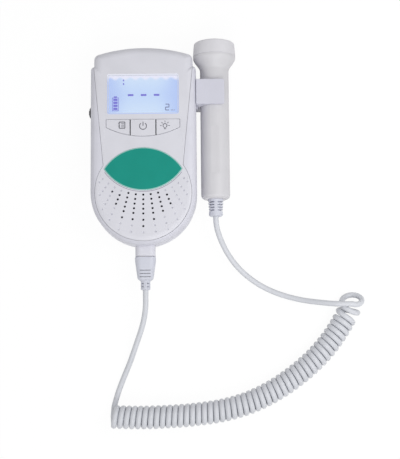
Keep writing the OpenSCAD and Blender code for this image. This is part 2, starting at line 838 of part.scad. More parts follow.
module earphone_jack() color(dark) {
    difference() {
        union() {
            translate([-half_w + wall, jack_y - jack_w / 2, jack_z - jack_w / 2])
                cube([jack_depth + 1.5, jack_w, jack_w]);
            translate([-half_w - jack_out, jack_y, jack_z]) rotate([0, 90, 0])
                cylinder(d = 5.6, h = wall + jack_out + eps, $fn = 48);
        }
        translate([-half_w - jack_out - 1, jack_y, jack_z]) rotate([0, 90, 0])
            cylinder(r = jack_bore_r, h = jack_depth + 1, $fn = 48);
    }
}

// ---------------------------------------------------------------- power

// A round cell that points along Y, with its contact cap at the far end if up, else at the near end
module cell(x, y, up) {
    translate([x, up ? y : y + cell_l, cell_z]) rotate([up ? -90 : 90, 0, 0])
        rotate_extrude($fn = 64)
            polygon([
                [0, 0], [cell_d / 2 - 1, 0], [cell_d / 2, 0.5], [cell_d / 2, cell_l - 2],
                [cell_d / 2 - 0.7, cell_l - 1.2], [2.7, cell_l - 1.2], [2.6, cell_l - 0.1],
                [2.4, cell_l], [0, cell_l]
            ]);
}

module battery_1() color([0.20, 0.22, 0.26]) cell(-cell_x, bay_y0 + plate_metal_t + spring_l, true);
module battery_2() color([0.20, 0.22, 0.26]) cell(cell_x, bay_y0 + plate_metal_t, false);

// Tube of round rings along points, each ring square to the line and turned from the reference
module tube(points, refs, r, sides) {
    n = len(points);
    rings = [for (i = [0 : n - 1])
        let (
            ahead = points[min(i + 1, n - 1)] - points[max(i - 1, 0)],
            t = ahead / norm(ahead),
            s = cross(refs[i], t),
            side = s / norm(s),
            up = cross(t, side)
        )
        [for (k = [0 : sides - 1]) let (a = 360 * (k + 0.5) / sides)
            points[i] + r * (cos(a) * side + sin(a) * up)]];
    loft(rings);
}

// Conical spring that stands on z = 0
module contact_spring() {
    steps = 32;
    line = [for (i = [0 : steps])
        let (a = 360 * 4 * i / steps, r = 4.6 - 2 * i / steps)
        [r * cos(a), r * sin(a), spring_wire / 2 + (spring_l - spring_wire) * i / steps]];
    tube(line, [for (p = line) [0, 0, 1]], spring_wire / 2 * 0.98, curl_sides);
}

module contact_springs() color(metal) {
    translate([-cell_x, bay_y0 + plate_metal_t, cell_z]) rotate([-90, 0, 0]) contact_spring();
    translate([cell_x, bay_y1 - plate_metal_t, cell_z]) rotate([90, 0, 0]) contact_spring();
}

module contact_plates() color(metal) {
    for (x = [-cell_x, cell_x], y = [bay_y0, bay_y1 - plate_metal_t])
        translate([x - 6, y, cell_z - 6]) cube([12, plate_metal_t, 12]);
}

module case_screws() color(metal) {
    at_case_screws(0) {
        translate([0, 0, screw_seat - 1.8]) difference() {
            cylinder(r = screw_head_r, h = 1.8, $fn = 32);
            for (a = [0, 90]) rotate(a) translate([-1.5, -0.35, -1]) cube([3, 0.7, 1.9]);
        }
        translate([0, 0, screw_seat - eps]) cylinder(r = screw_r, h = split_z + 8 - screw_seat, $fn = 24);
    }
}

module board_screws() color(metal) {
    at_board_screws(0) {
        translate([0, 0, board_z - 1.2]) cylinder(r = 1.8, h = 1.2, $fn = 32);
        translate([0, 0, board_z - eps]) cylinder(r = 0.95, h = board_t + 5, $fn = 24);
    }
}

// ---------------------------------------------------------------- probe socket and plug

module probe_socket() color(plug_lilac) {
    difference() {
        facing_down(socket_x, socket_y1, socket_z)
            rounded_block(socket_w, socket_h, socket_corner, socket_y1 - socket_y0);
        facing_down(socket_x, socket_y0 + socket_deep, socket_z)
            rounded_block(tongue_w + 2 * tongue_play, tongue_h + 2 * tongue_play, 1.6, socket_deep + 1);
        for (x = [-1, 1], z = [-1, 1])
            facing_down(socket_x + x * pin_x, socket_y1 + 1, socket_z + z * pin_z)
                cylinder(r = contact_r + 0.05, h = 10, $fn = 24);
    }
}

module socket_contacts() color([0.85, 0.75, 0.45]) {
    for (x = [-1, 1], z = [-1, 1])
        facing_down(socket_x + x * pin_x, socket_y1 + 0.3, socket_z + z * pin_z)
            cylinder(r = contact_r, h = socket_y1 + 0.3 - socket_y0 - socket_deep + 4.5, $fn = 24);
}

// Ring of points round a rectangle with round corners, at a height
function rounded_ring(w, h, r, z) =
    let (x = w / 2 - r, y = h / 2 - r)
    raised(concat(
        arc([x, y], r, 0, 90, 4), arc([-x, y], r, 90, 180, 4),
        arc([-x, -y], r, 180, 270, 4), arc([x, -y], r, 270, 360, 4)
    ), z);

module plug_body() color(plug_lilac) {
    // how far from the collar, then how much narrower and lower than at the grip
    sections = [[0, 0.7], [0.5, 0], [3.5, 0.3], [7.2, 1.4], [11, 2.4], [14.3, 3.4], [15.2, 4.4],
        [plug_len, 6.2]];
    w = socket_w + 0.6;
    h = socket_h + 0.4;
    difference() {
        facing_down(socket_x, plug_y0, socket_z)
            loft([for (s = sections)
                rounded_ring(w - s.y, h - 0.75 * s.y, socket_corner - 0.25 * s.y, s.x)]);
        facing_down(socket_x, boot_end + lead_in + lead_play, socket_z)
            cylinder(r = lead_bore_r, h = 20, $fn = 32);
        for (y = [9.1, 11.3, 13.5], side = [-1, 1])
            translate([socket_x - 4.2, plug_y0 - y - 0.3, socket_z + side * (h / 2 - 0.1) - 1])
                cube([8.4, 0.6, 2]);
    }
}

module plug_tongue() color(metal) {
    difference() {
        facing_down(socket_x, socket_y0 + socket_deep - 0.8, socket_z)
            rounded_block(tongue_w, tongue_h, 1.4, socket_y0 + socket_deep - 0.8 - plug_y0);
        for (x = [-1, 1], z = [-1, 1])
            facing_down(socket_x + x * pin_x, socket_y0 + socket_deep, socket_z + z * pin_z)
                cylinder(r = contact_r + 0.2, h = 5.6, $fn = 24);
    }
}

module plug_boot() color(plug_lilac) {
    difference() {
        facing_down(socket_x, plug_end, socket_z)
            rotate_extrude($fn = 48)
                polygon([
                    [lead_bore_r, 0], [plug_boot_r + 0.6, 0], [plug_boot_r, 0.8],
                    [plug_boot_r, boot_len - 0.5], [plug_boot_r - 0.5, boot_len],
                    [lead_bore_r, boot_len]
                ]);
        for (y = [2.2, 4.3], side = [-1, 1])
            translate([socket_x + side * 2.6 - 1.4, plug_end - y - 0.35, socket_z - 5])
                cube([2.8, 0.7, 3.6]);
        for (y = [2.2, 4.3], side = [-1, 1])
            translate([socket_x + side * 2.6 - 1.4, plug_end - y - 0.35, socket_z + 1.4])
                cube([2.8, 0.7, 3.6]);
    }
}

// ---------------------------------------------------------------- clip and probe

module clip_rail() color([0.70, 0.70, 0.74]) {
    mid = (rail_z0 + rail_z1) / 2;
    difference() {
        translate([half_w, rail_y0, rail_z0]) cube([rail_t, rail_y1 - rail_y0, rail_z1 - rail_z0]);
        for (y = rail_screw_y)
            translate([half_w - 1, y, mid]) rotate([0, 90, 0]) cylinder(r = 1.1, h = 4, $fn = 24);
    }
}

module rail_screws() color(metal) {
    for (y = rail_screw_y)
        translate([half_w - wall - 0.8, y, (rail_z0 + rail_z1) / 2]) rotate([0, 90, 0])
            cylinder(r = 1.05, h = wall + 0.8 + rail_t - 0.1, $fn = 24);
}

module clip_arm(z) {
    w = clip_x1 - half_w;
    translate([half_w, clip_y0, z]) {
        cube([w - 1.5, clip_l, clip_t]);
        translate([0, 1.5]) cube([w, clip_l - 3, clip_t]);
        for (y = [1.5, clip_l - 1.5])
            translate([w - 1.5, y]) cylinder(r = 1.5, h = clip_t, $fn = 24);
    }
}

module probe_clip() color(clip_white) {
    low = probe_z - arm_in - clip_t;
    difference() {
        union() {
            clip_arm(low);
            clip_arm(probe_z + arm_in);
            translate([half_w, clip_y0, low])
                cube([clip_web_x - half_w, clip_l, 2 * (arm_in + clip_t)]);
        }
        on_probe(clip_y0 - 1) cylinder(r = arm_in, h = clip_l + 2, $fn = 96);
        translate([probe_x, clip_y0 - 1, probe_z - arm_in]) cube([20, clip_l + 2, 2 * arm_in]);
        translate([half_w - 1, clip_y0 - 1, rail_z0 - fit])
            cube([rail_t + 1 + fit, rail_y1 + fit - clip_y0 + 1, rail_z1 - rail_z0 + 2 * fit]);
    }
}

// Outline of the probe's neck, from the handle up to the seam, drawn in by t
function neck(t) = [
    [handle_r - t, seam_y - neck_l], [handle_r + 0.4 - t, seam_y - 0.83 * neck_l],
    [handle_r + 1.05 - t, seam_y - 0.72 * neck_l], [head_r - 2.7 - t, seam_y - 0.56 * neck_l],
    [head_r - 1.6 - t, seam_y - 0.41 * neck_l], [head_r - 0.7 - t, seam_y - 0.26 * neck_l],
    [head_r - 0.15 - t, seam_y - 0.14 * neck_l], [head_r - t, seam_y]
];

module probe_handle() color(probe_white) {
    t = probe_wall;
    r = 3;
    difference() {
        on_probe(0) rotate_extrude($fn = 96)
            polygon(concat(
                [[relief_r + fit, handle_end]],
                arc([handle_r - r, handle_end + r], r, 270, 360, 6),
                neck(0),
                [for (i = [7 : -1 : 0]) neck(t)[i] + [0, i == 7 ? 0 : 0.4]],
                [[handle_r - t, handle_end + t], [relief_r + fit, handle_end + t]]
            ));
        translate([probe_x, recess_y, probe_z + handle_r - recess_deep])
            linear_extrude(5) rounded_rect(recess_w, recess_l, recess_w / 2 - eps);
    }
}

module probe_seal() color([0.55, 0.55, 0.58]) {
    on_probe(seam_y) difference() {
        cylinder(r = head_r - 0.3, h = 0.4, $fn = 96);
        translate([0, 0, -1]) cylinder(r = head_r - probe_wall - 0.2, h = 3, $fn = 96);
    }
}

module probe_head() color([0.78, 0.78, 0.80]) {
    inner = head_r - probe_wall - 0.6;
    y0 = seam_y + 0.4;
    on_probe(0) rotate_extrude($fn = 96)
        polygon(concat(
            [[inner, y0], [head_r, y0], [head_r - 0.2, y0 + 4]],
            arc([head_r - 1.8, face_y - 1.6], 1.2, 0, 80, 5),
            [[face_r + fit, face_y - 0.4], [face_r + fit, face_y - 0.3 - face_t],
                [inner, face_y - 0.3 - face_t]]
        ));
}

module probe_face() color([0.72, 0.72, 0.74]) {
    on_probe(0) rotate_extrude($fn = 96)
        polygon([
            [0, face_y - 0.3 - face_t], [face_r, face_y - 0.3 - face_t], [face_r, face_y - 0.5],
            [face_r - 1, face_y - 0.25], [face_r * 0.6, face_y - 0.05], [0, face_y]
        ]);
}

module crystal_disc() color([0.80, 0.74, 0.58]) {
    on_probe(face_y - 0.4 - face_t - crystal_t)
        cylinder(r = face_r - 1.2, h = crystal_t, $fn = 64);
}

module backing_block() color([0.25, 0.25, 0.27]) {
    on_probe(face_y - 0.5 - face_t - crystal_t - backing_t)
        cylinder(r = face_r - 1.4, h = backing_t, $fn = 64);
}

module probe_board() color(board_green) {
    w = 2 * (handle_r - probe_wall) - 0.6;
    translate([probe_x - w / 2, -20, probe_z - 0.6]) cube([w, 46, 1.2]);
}

module probe_boot() color(probe_white) {
    y0 = handle_end + probe_wall;
    difference() {
        on_probe(0) rotate_extrude($fn = 64)
            polygon([
                [0, relief_end], [relief_tip_r - 0.8, relief_end], [relief_tip_r, relief_end + 0.7],
                [relief_tip_r, relief_end + 2.6], [relief_tip_r - 0.1, relief_end + 3],
                [relief_r, handle_end - 1.4], [relief_r, y0 + fit],
                [handle_r - probe_wall - 0.3, y0 + fit], [handle_r - probe_wall - 0.3, y0 + 1.6],
                [0, y0 + 1.6]
            ]);
        for (i = [0 : 3])
            on_probe(relief_end + 3.4 + 1.85 * i) difference() {
                cylinder(r = relief_r + 1, h = 0.9, $fn = 64);
                translate([0, 0, -1]) cylinder(r = relief_r - 1.9, h = 3, $fn = 64);
                translate([-1.1, -10, -1]) cube([2.2, 20, 3]);
            }
    }
}

// ---------------------------------------------------------------- cord

// Smooth line through hand-set points, with steps pieces to each stretch
function spline(p, steps) = let (n = len(p)) concat(
    [for (k = [0 : n - 2], i = [0 : steps - 1])
        let (
            a = p[max(k - 1, 0)], b = p[k], c = p[k + 1], d = p[min(k + 2, n - 1)], u = i / steps
        )
        0.5 * (2 * b + (c - a) * u + (2 * a - 5 * b + 4 * c - d) * u * u
            + (3 * b - a - 3 * c + d) * u * u * u)],
    [p[n - 1]]
);

function running_length(p) =
    [for (i = 0, s = 0; i < len(p); s = s + (i + 1 < len(p) ? norm(p[i + 1] - p[i]) : 0), i = i + 1) s];

axis_line = spline(coil_route, 10);
axis_s = running_length(axis_line);
axis_x = [for (i = [0 : len(axis_s) - 1]) [axis_s[i], axis_line[i].x]];
axis_y = [for (i = [0 : len(axis_s) - 1]) [axis_s[i], axis_line[i].y]];
coil_l = axis_s[len(axis_s) - 1];

// The last curls open out, lean up and rise from the table, because the lead pulls on them
lean_turns = 2;
lean_pitch = 5;
lean_angle = 60;
end_lift = 7;
end_growth = 0.1;
turns = curls + 0.5;
even_pitch = (coil_l - lean_turns * lean_pitch - curl_r * sin(lean_angle)) / (turns - lean_turns);
curl_steps = round(turns * curl_rings);

function axis_at(s) = [lookup(s, axis_x), lookup(s, axis_y)];
function axis_way(s) = let (d = axis_at(min(s + 2, coil_l)) - axis_at(max(s - 2, 0))) d / norm(d);
function opening(turn) = max(0, 1 - (turns - turn) / lean_turns);
function lean(turn) = lean_angle * opening(turn);
function along(turn) = turn < turns - lean_turns
    ? even_pitch * turn
    : coil_l - lean_pitch * (turns - turn) - curl_r * (sin(lean_angle) - sin(lean(turn)));
function tangent(turn) =
    let (t = axis_way(along(turn)), a = lean(turn)) [cos(a) * t.x, cos(a) * t.y, sin(a)];

function curl_at(turn) =
    let (
        p = axis_at(along(turn)), t = axis_way(along(turn)), a = lean(turn), q = opening(turn),
        turned = -90 - 360 * turn, up = [-sin(a) * t.x, -sin(a) * t.y, cos(a)]
    )
    [p.x, p.y, cord_z + curl_r * cos(a) + end_lift * pow(q, 3)]
        + curl_r * (1 + end_growth * q) * (cos(turned) * [-t.y, t.x, 0] + sin(turned) * up);

curl_line = [for (i = [0 : curl_steps]) curl_at(turns * i / curl_steps)];
// Both ends run straight for one diameter, so that a lead meets the curly stretch face to face
start_way = [0.08, 0.997, 0];
end_way = [-1, 0, 0];
whole_curl = concat(
    [curl_line[0] + cord_d * start_way], curl_line, [curl_line[curl_steps] + cord_d * end_way]
);
coil_start = whole_curl[0];
coil_end = whole_curl[len(whole_curl) - 1];
curl_refs = [for (i = [-1 : curl_steps + 1]) tangent(turns * min(max(i, 0), curl_steps) / curl_steps)];
curl_gap = min([for (i = [0 : curl_steps - curl_rings + 2], j = [curl_rings - 3 : curl_rings + 2])
    if (i + j + 1 <= curl_steps)
        let (
            a = curl_line[i + j], d = curl_line[i + j + 1] - a, p = curl_line[i],
            u = min(1, max(0, (p - a) * d / (d * d)))
        )
        norm(a + u * d - p)]) - cord_d;
echo("least gap between curls, mm", curl_gap);
echo("ends of the curly stretch", coil_start, coil_end);
echo("length of the curly stretch, mm", running_length(whole_curl)[len(whole_curl) - 1]);

module lead(route) {
    tube(route, [for (p = route) [0, 0, 1]], cord_d / 2, ring_sides);
}

module curly_cord() color(cord_white) tube(whole_curl, curl_refs, cord_d / 2, curl_sides);
module plug_lead() color(cord_white) lead(concat(plug_lead_route, [coil_start]));
module probe_lead() color(cord_white)
    lead(concat(probe_lead_route, [coil_end + 2.6 * end_way, coil_end]));

rear_shell();
front_cover();
lcd_window();
lcd_panel();
backlight();
lcd_frame();
name_plate();
key_mode();
key_power();
key_light();
plunger_mode();
plunger_power();
plunger_light();
tact_switches();
main_board();
processor_chip();
board_parts();
speaker_basket();
speaker_cone();
speaker_magnet();
speaker_cloth();
volume_wheel();
volume_pot();
earphone_jack();
battery_door();
battery_1();
battery_2();
contact_springs();
contact_plates();
case_screws();
board_screws();
probe_socket();
socket_contacts();
clip_rail();
rail_screws();
probe_clip();
probe_handle();
probe_head();
probe_face();
probe_seal();
crystal_disc();
backing_block();
probe_board();
probe_boot();
plug_body();
plug_tongue();
plug_boot();
probe_lead();
curly_cord();
plug_lead();
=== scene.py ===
# %% [markdown]
# # A handheld fetal doppler monitor
#
# The monitor lies on its back: a white housing with a lit display, three keys and a loudspeaker,
# and a probe in a clip on its right side. A curly cord runs from the probe to a plug at the lower
# end. The CAD model comes in as a fixed frame. Everything here is built around it, in metres.

import json
import math

import bmesh
import bpy
from mathutils import Matrix, Vector


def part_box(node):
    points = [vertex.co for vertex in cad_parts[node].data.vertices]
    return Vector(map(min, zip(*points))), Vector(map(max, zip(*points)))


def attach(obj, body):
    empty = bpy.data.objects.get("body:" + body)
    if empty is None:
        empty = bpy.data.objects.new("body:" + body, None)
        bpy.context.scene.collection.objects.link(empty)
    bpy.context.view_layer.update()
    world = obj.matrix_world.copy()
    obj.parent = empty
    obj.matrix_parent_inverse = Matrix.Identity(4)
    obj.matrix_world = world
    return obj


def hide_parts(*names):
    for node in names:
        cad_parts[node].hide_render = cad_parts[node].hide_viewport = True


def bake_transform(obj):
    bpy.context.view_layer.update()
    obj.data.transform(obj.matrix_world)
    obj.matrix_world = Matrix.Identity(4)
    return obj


MM = 0.001
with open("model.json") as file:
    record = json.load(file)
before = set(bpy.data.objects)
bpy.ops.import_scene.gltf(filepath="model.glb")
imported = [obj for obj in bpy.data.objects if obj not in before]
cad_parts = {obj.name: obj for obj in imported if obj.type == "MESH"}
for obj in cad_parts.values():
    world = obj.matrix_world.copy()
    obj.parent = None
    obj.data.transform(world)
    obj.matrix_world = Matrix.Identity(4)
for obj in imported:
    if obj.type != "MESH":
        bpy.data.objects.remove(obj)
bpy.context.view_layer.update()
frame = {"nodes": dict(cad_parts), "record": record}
nodes = frame["nodes"]

# %% [markdown]
# ## Camera
#
# The photograph looks down on the object from a little below its lower end. A long lens keeps the
# perspective weak, and half a degree of roll makes the housing lean as it does in the picture. A
# camera could be turned by three angles. This one is aimed from an eye at a target, because each
# of these two points can be judged and moved by itself.

# %% Camera
PHOTO_HEIGHT = 459
FOCAL_LENGTH_PIXELS = 1019
SENSOR = 24
eye = Vector((0.0372, -0.1391, 0.6948))
target = Vector((0.0372, -0.0538, 0))
roll = math.radians(-0.55)

camera = bpy.data.objects.new("camera", bpy.data.cameras.new("camera"))
bpy.context.scene.collection.objects.link(camera)
camera.data.sensor_width = SENSOR
camera.data.lens = SENSOR * FOCAL_LENGTH_PIXELS / PHOTO_HEIGHT
camera.data.clip_start = 0.01
turned = (target - eye).to_track_quat("-Z", "Y").to_matrix() @ Matrix.Rotation(roll, 3, "Z")
camera.matrix_world = Matrix.Translation(eye) @ turned.to_4x4()
bpy.context.scene.camera = camera
print("lens in mm:", round(camera.data.lens, 2))

# %% [markdown]
# ## Shader maths
#
# A material is a tree of nodes joined by links. Written out one by one they are hard to read, so a
# small class wraps a socket. Adding or multiplying two wires adds the Math node that does it, and
# one method makes every other node.

# %% A wire from a shader socket


class Wire:
    """An output socket of a shader node that can be used in a Python expression."""

    def __init__(self, tree, socket=None):
        self.tree, self.socket = tree, socket

    def node(self, kind, settings=(), sockets=(), output=0):
        """New node of that kind. Its settings come first, then values or wires for sockets."""
        made = self.tree.nodes.new("ShaderNode" + kind)
        for name, value in dict(settings).items():
            setattr(made, name, value)
        for name, value in dict(sockets).items():
            if isinstance(value, Wire):
                self.tree.links.new(value.socket, made.inputs[name])
            else:
                made.inputs[name].default_value = value
        return Wire(self.tree, made.outputs[output])

    def output(self, name):
        """Another output of the node that this wire leaves."""
        return Wire(self.tree, self.socket.node.outputs[name])

    def maths(self, operation, a, b=0.0):
        """Math node. Operations on one number leave out b."""
        return self.node("Math", {"operation": operation}, {0: a, 1: b})

    def __add__(self, other):
        return self.maths("ADD", self, other)

    def __sub__(self, other):
        return self.maths("SUBTRACT", self, other)

    def __rsub__(self, other):
        return self.maths("SUBTRACT", other, self)

    def __mul__(self, other):
        return self.maths("MULTIPLY", self, other)

    def __abs__(self):
        return self.maths("ABSOLUTE", self)

    __radd__, __rmul__ = __add__, __mul__

    def soft_step(self, low, high):
        """0 below low, 1 above high and smooth between them."""
        return self.node("MapRange", {"interpolation_type": "SMOOTHSTEP"},
                         {"Value": self, "From Min": low, "From Max": high})

    def blend(self, start, end):
        """Colour that goes from start to end as this wire goes from 0 to 1."""
        return self.node("Mix", {"data_type": "RGBA"}, {0: self, 6: start, 7: end}, output=2)


print("a wire can do:", [name for name in vars(Wire) if name != "__module__"])

# %% [markdown]
# ## Colours
#
# The colours were judged in the photograph, where red, green and blue run from 0 to 255.
# Blender works with linear light, so each value goes through the sRGB curve first.

# %% Colours as seen on a screen


def seen(red, green, blue):
    """Linear colour of a screen colour."""
    parts = [v / 255 for v in (red, green, blue)]
    return (*[p / 12.92 if p <= 0.04045 else ((p + 0.055) / 1.055) ** 2.4 for p in parts], 1)


print("body white in linear light:", [round(v, 3) for v in seen(221, 221, 229)[:3]])

# %% [markdown]
# ## Finishes
#
# Most of the object is satin plastic, which is never quite even. A photograph of plastic could
# supply that, but it would have to be unwrapped onto every piece. Two noises on Object coordinates
# need no unwrapping. The fine one is the moulded grain and feeds a Bump node. The broad one makes
# soft patches that are a little darker and rougher, as hands leave them.

# %% A material from one shader
PATCH_SCALE, GRAIN_SCALE = 70.0, 2600.0
HANDLED_SHADE, HANDLED_ROUGHNESS = 0.965, 0.08
materials = {}


def new_tree(slot):
    """An empty node tree for that material slot, as a wire to start from."""
    material = bpy.data.materials.new(slot)
    material.use_nodes = True
    material.node_tree.nodes.clear()
    materials[slot] = material
    return Wire(material.node_tree)


def surface(tree, shader):
    """Joins the shader to the material's output."""
    made = tree.tree.nodes.new("ShaderNodeOutputMaterial")
    tree.tree.links.new(shader.socket, made.inputs["Surface"])


def place_on(tree):
    """Place on the piece in metres. A CAD node's own coordinates are those of the whole frame."""
    return tree.node("TexCoord").output("Object")


def finish(slot, colour, roughness, metallic=0.0, grain=0.0, coat=0.0):
    """Handled finish. Grain is the height of its moulded texture in metres."""
    tree = new_tree(slot)
    place = place_on(tree)
    patches = tree.node("TexNoise", sockets={"Vector": place, "Scale": PATCH_SCALE, "Detail": 3.0})
    handled = patches.soft_step(0.35, 0.7)
    darker = (*[HANDLED_SHADE * part for part in colour[:3]], 1)
    sockets = {"Base Color": handled.blend(colour, darker), "Metallic": metallic,
               "Roughness": roughness + HANDLED_ROUGHNESS * handled, "Coat Weight": coat}
    if grain:
        noise = tree.node("TexNoise",
                          sockets={"Vector": place, "Scale": GRAIN_SCALE, "Detail": 3.0})
        sockets["Normal"] = tree.node("Bump", sockets={"Distance": grain, "Height": noise})
    surface(tree, tree.node("BsdfPrincipled", sockets=sockets))


print("grain in mm:", round(1 / (GRAIN_SCALE * MM), 2), "patches in mm:",
      round(1 / (PATCH_SCALE * MM)))

# %% [markdown]
# ## Plastics, rubber and metal
#
# The housing, the probe and the clip are three slightly different whites, and the cord is soft and
# smooth. The parts inside show only when the battery door is off or a piece is taken away, but they
# get their own colours too. Each finish could be a tree of its own, but they differ in a few
# numbers only, so each is one call. Metals are the same finish with its metallic value raised.

# %% One finish for each slot
SATIN, RUBBER, PAPER = 0.00001, 0.000004, 0.00004
finish("body_white", seen(221, 221, 229), 0.42, grain=SATIN)
finish("wing_lilac", seen(219, 219, 229), 0.42, grain=SATIN)
finish("probe_white", seen(213, 212, 216), 0.4, grain=SATIN)
finish("probe_band", seen(224, 223, 228), 0.45, grain=SATIN)
finish("probe_membrane", seen(196, 196, 200), 0.55, grain=SATIN)
finish("clip_white", seen(212, 212, 224), 0.4, grain=SATIN)
finish("cord", seen(212, 214, 220), 0.38, grain=RUBBER)
finish("plug_lilac", seen(209, 211, 222), 0.42, grain=SATIN)
finish("frame_white", seen(235, 235, 235), 0.6)
finish("light_guide", seen(240, 245, 250), 0.15)
finish("rail_grey", seen(192, 192, 202), 0.5, grain=SATIN)
finish("black_plastic", seen(58, 58, 62), 0.5, grain=SATIN)
finish("backing", seen(70, 70, 74), 0.7)
finish("crystal", seen(214, 206, 182), 0.55)
finish("cone_paper", seen(40, 40, 43), 0.85, grain=PAPER)
finish("cell_jacket", seen(52, 58, 76), 0.3, coat=0.5)
finish("board_green", seen(30, 104, 62), 0.35, coat=0.3)
finish("parts_brown", seen(120, 100, 82), 0.5)
finish("steel", seen(190, 190, 194), 0.35, metallic=1.0)
finish("switch_metal", seen(186, 186, 190), 0.4, metallic=1.0)
finish("spring_steel", seen(214, 214, 218), 0.2, metallic=1.0)
finish("contact_gold", seen(226, 196, 124), 0.25, metallic=1.0)
finish("magnet", seen(112, 112, 116), 0.45, metallic=0.8)
finish("line_mauve", seen(146, 138, 156), 0.6)
finish("mark_grey", seen(98, 98, 108), 0.6)
print("finishes:", len(materials))

# %% [markdown]
# ## Loudspeaker cloth
#
# Thin black cloth keeps dust out of the loudspeaker. Its threads could be modelled, but there are
# about two hundred of them behind small holes. Threads cross each other, so the product of two
# waves, one along X and one along Y, makes small cushions that drive the height and the colour.

# %% Cloth
THREAD, THREAD_HEIGHT = 0.0007, 0.0001


def across(tree, middle=Vector()):
    """Wires for X and Y on a piece, counted from middle."""
    place = tree.node("SeparateXYZ", sockets={0: place_on(tree)})
    return place.output("X") - middle.x, place.output("Y") - middle.y


tree = new_tree("cloth")
x, y = across(tree)
wave = 2 * math.pi / THREAD
weave = tree.maths("SINE", x * wave) * tree.maths("SINE", y * wave)
surface(tree, tree.node("BsdfPrincipled", sockets={
    "Base Color": weave.soft_step(-1, 1).blend(seen(12, 12, 16), seen(42, 42, 48)),
    "Roughness": 0.9,
    "Normal": tree.node("Bump", sockets={"Distance": THREAD_HEIGHT, "Height": weave}),
}))
print("threads per cm:", round(0.02 / THREAD))

# %% [markdown]
# ## Name plate
#
# The plate between the keys and the loudspeaker is bare green metal. Its thin pale rim is a painted
# highlight, the light that its bevelled edge catches. The rim could be a ring of its own. As a
# colour it needs no geometry, because the outline is two arcs of equal radius, so the distance from
# the middle of each arc tells where the rim is.

# %% Plate
plate_low, plate_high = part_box("name_plate")
plate = 0.5 * (plate_low + plate_high)
plate_half_width, plate_half_height = plate_high.x - plate.x, plate_high.y - plate.y
plate_radius = (plate_half_width**2 + plate_half_height**2) / (2 * plate_half_height)
plate_rise = plate_radius - plate_half_height
RIM_HIGHLIGHT, RIM_HIGHLIGHT_BLUR = 0.0005, 0.0001
BRUSHED_SCALE = 90.0

tree = new_tree("plate_green")
x, y = across(tree, plate)
to_arcs = []
for side in (-1, 1):
    from_middle = y - side * plate_rise
    to_arcs.append(tree.maths("SQRT", x * x + from_middle * from_middle))
# Painted highlight: a pale band just inside the plate's outline, where its bevelled edge catches
# the light.
highlight_radius = plate_radius - RIM_HIGHLIGHT
rim = tree.maths("MAXIMUM", *to_arcs).soft_step(highlight_radius - RIM_HIGHLIGHT_BLUR, highlight_radius)
brushed = tree.node("TexNoise", sockets={"Vector": place_on(tree), "Scale": BRUSHED_SCALE})
green = brushed.blend(seen(8, 140, 125), seen(16, 149, 134))
surface(tree, tree.node("BsdfPrincipled", sockets={
    "Base Color": rim.blend(green, seen(150, 204, 196)), "Roughness": 0.33 + 0.08 * brushed,
    "Specular IOR Level": 0.25,
}))
print("plate radius in mm:", round(plate_radius / MM, 2))

# %% [markdown]
# ## Lit panel
#
# The display is lit from behind. Its light isn't even: a pale band with small scallops glows along
# the top edge, where the lamps sit, and the sides are a little bluer. Lamps inside the model could
# make this, but they would light other things too. Here it is an emission colour that is worked
# out from the place on the panel.

# %% Panel
SIDES, MIDDLE, TOP_BAND = (0.006, 0.024), (0.0, 0.013), (0.0098, 0.0122)
SCALLOP_DEPTH, SCALLOP_LENGTH = 0.0007, 0.0068
panel_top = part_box("lcd_panel")[1].z
window_low, window_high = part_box("lcd_window")
display = 0.5 * (window_low + window_high)

tree = new_tree("panel_blue")
x, y = across(tree, display)
to_side = abs(x).soft_step(*SIDES)
to_middle = abs(y).soft_step(*MIDDLE)
sky = to_side.blend(seen(194, 219, 255), seen(176, 200, 250))
sky = (to_middle * (1 - to_side)).blend(sky, seen(206, 228, 255))
scallops = SCALLOP_DEPTH * tree.maths("SINE", x * (2 * math.pi / SCALLOP_LENGTH))
glow = (y + scallops).soft_step(*TOP_BAND).blend(sky, seen(238, 238, 255))
surface(tree, tree.node("BsdfPrincipled", sockets={
    "Base Color": (0.02, 0.02, 0.03, 1), "Roughness": 0.4,
    "Emission Color": glow, "Emission Strength": 0.88,
}))
print("display middle in mm:", [round(v / MM, 1) for v in display])

# %% [markdown]
# ## Window
#
# The window over the display is a clear plate. A glass shader would bend the light and take many
# samples, and the plate is thin, so a low alpha does the same work. A narrow border of it is nearly
# opaque and carries painted light: a glow of its own, paler at the top, over the cover's lip that
# would otherwise show in shade.

# %% Window
BORDER, BORDER_BLUR, PAINTED_GLOW_TOP = 0.0012, 0.0003, (0.008, 0.0125)
window_half = window_high - display
tree = new_tree("window")
x, y = across(tree, display)
# Painted light: the border is nearly opaque and glows, paler towards its top edge.
painted_glow_border = tree.maths("MAXIMUM", *[
    abs(way).soft_step(half - BORDER, half - BORDER_BLUR)
    for way, half in ((x, window_half.x), (y, window_half.y))])
painted_edge_glow = y.soft_step(*PAINTED_GLOW_TOP).blend(seen(194, 210, 250), seen(242, 244, 255))
surface(tree, tree.node("BsdfPrincipled", sockets={
    "Base Color": painted_glow_border.blend((0.9, 0.94, 1, 1), (0.03, 0.03, 0.04, 1)), "Roughness": 0.08,
    "Alpha": 0.06 + 0.84 * painted_glow_border,
    "Emission Color": painted_glow_border.blend((0, 0, 0, 1), painted_edge_glow), "Emission Strength": 0.85,
}))

print("window in mm:", [round(2 * v / MM, 1) for v in window_half[:2]])

# %% [markdown]
# ## Segments of the display
#
# The segments are dark blue on the lit panel, and the small sign at the lower right is greyer. They
# could be plain dark ink, but its colour would change with the lamps. A dim glow of its own keeps
# each segment as blue as it is in the photograph.

# %% Segment glow
for slot, colour in (("segment_blue", seen(90, 80, 206)), ("segment_dark", seen(72, 78, 132))):
    tree = new_tree(slot)
    surface(tree, tree.node("BsdfPrincipled", sockets={
        "Base Color": (0.02, 0.02, 0.04, 1), "Roughness": 0.5,
        "Emission Color": colour, "Emission Strength": 0.9,
    }))
print("materials:", sorted(materials))

